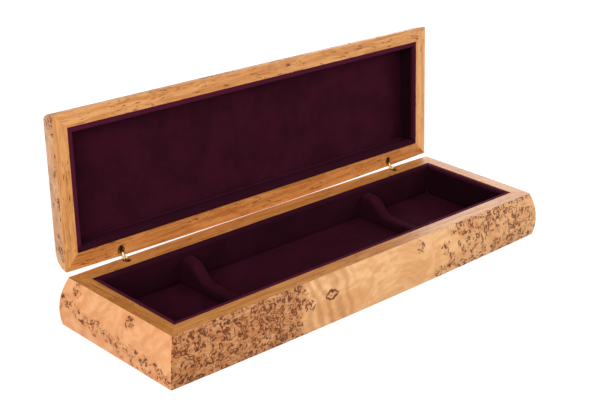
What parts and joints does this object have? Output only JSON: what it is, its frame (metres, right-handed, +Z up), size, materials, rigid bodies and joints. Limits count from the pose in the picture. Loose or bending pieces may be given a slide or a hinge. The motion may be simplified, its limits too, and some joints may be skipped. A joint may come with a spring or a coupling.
{
  "type": "hinged jewelry box",
  "caption": "Long flat wooden jewelry case with swelling burl-wood sides, a velvet lining with cross cradles, and a lid on brass barrel hinges.",
  "frame": {"origin": "centre of the base's underside", "axes": "+X along the case to the right, +Y from front to back, +Z up; shown open at the stop"},
  "size_m": [0.3084, 0.1266, 0.1198],
  "materials": {
    "burl_birch": "satin",
    "birch_panel": "satin",
    "plum_velvet": "matte",
    "hinge_brass": "polished"
  },
  "bodies": {
    "base": {"base_front_wall": "burl_birch", "base_back_wall": "burl_birch", "base_left_wall": "burl_birch", "base_right_wall": "burl_birch", "base_bottom_panel": "birch_panel", "base_floor_pad": "plum_velvet", "base_front_liner": "plum_velvet", "base_back_liner": "plum_velvet", "base_left_liner": "plum_velvet", "base_right_liner": "plum_velvet", "cradle_left": "plum_velvet", "cradle_right": "plum_velvet", "hinge_left_base_barrel": "hinge_brass", "hinge_right_base_barrel": "hinge_brass", "hinge_base_pins": "hinge_brass"},
    "lid": {"lid_front_rail": "burl_birch", "lid_back_rail": "burl_birch", "lid_left_rail": "burl_birch", "lid_right_rail": "burl_birch", "lid_top_board": "burl_birch", "lid_ceiling_pad": "plum_velvet", "lid_front_liner": "plum_velvet", "lid_back_liner": "plum_velvet", "lid_left_liner": "plum_velvet", "lid_right_liner": "plum_velvet", "hinge_left_lid_barrel": "hinge_brass", "hinge_right_lid_barrel": "hinge_brass", "hinge_lid_pins": "hinge_brass"},
    "base_links": {"hinge_left_base_link": "hinge_brass", "hinge_right_base_link": "hinge_brass"},
    "lid_links": {"hinge_left_lid_link": "hinge_brass", "hinge_right_lid_link": "hinge_brass"}
  },
  "joints": [
    {"name": "lid_hinge", "type": "hinge", "parent": "base", "child": "lid", "pos_m": [0, 0.0463, 0.0291], "axis": [1, 0, 0], "range_deg": [0, 94.8]},
    {"name": "base_link_turn", "type": "hinge", "parent": "base", "child": "base_links", "pos_m": [0, 0.04315, 0.0275], "axis": [1, 0, 0], "range_deg": [0, 94.8]},
    {"name": "lid_link_turn", "type": "hinge", "parent": "lid", "child": "lid_links", "pos_m": [0, 0.04816, 0.03211], "axis": [1, 0, 0], "range_deg": [-94.8, 0]}
  ],
  "couplings": [
    {"joint": "base_link_turn", "follows": "lid_hinge", "ratio": 1},
    {"joint": "lid_link_turn", "follows": "lid_hinge", "ratio": -1}
  ]
}
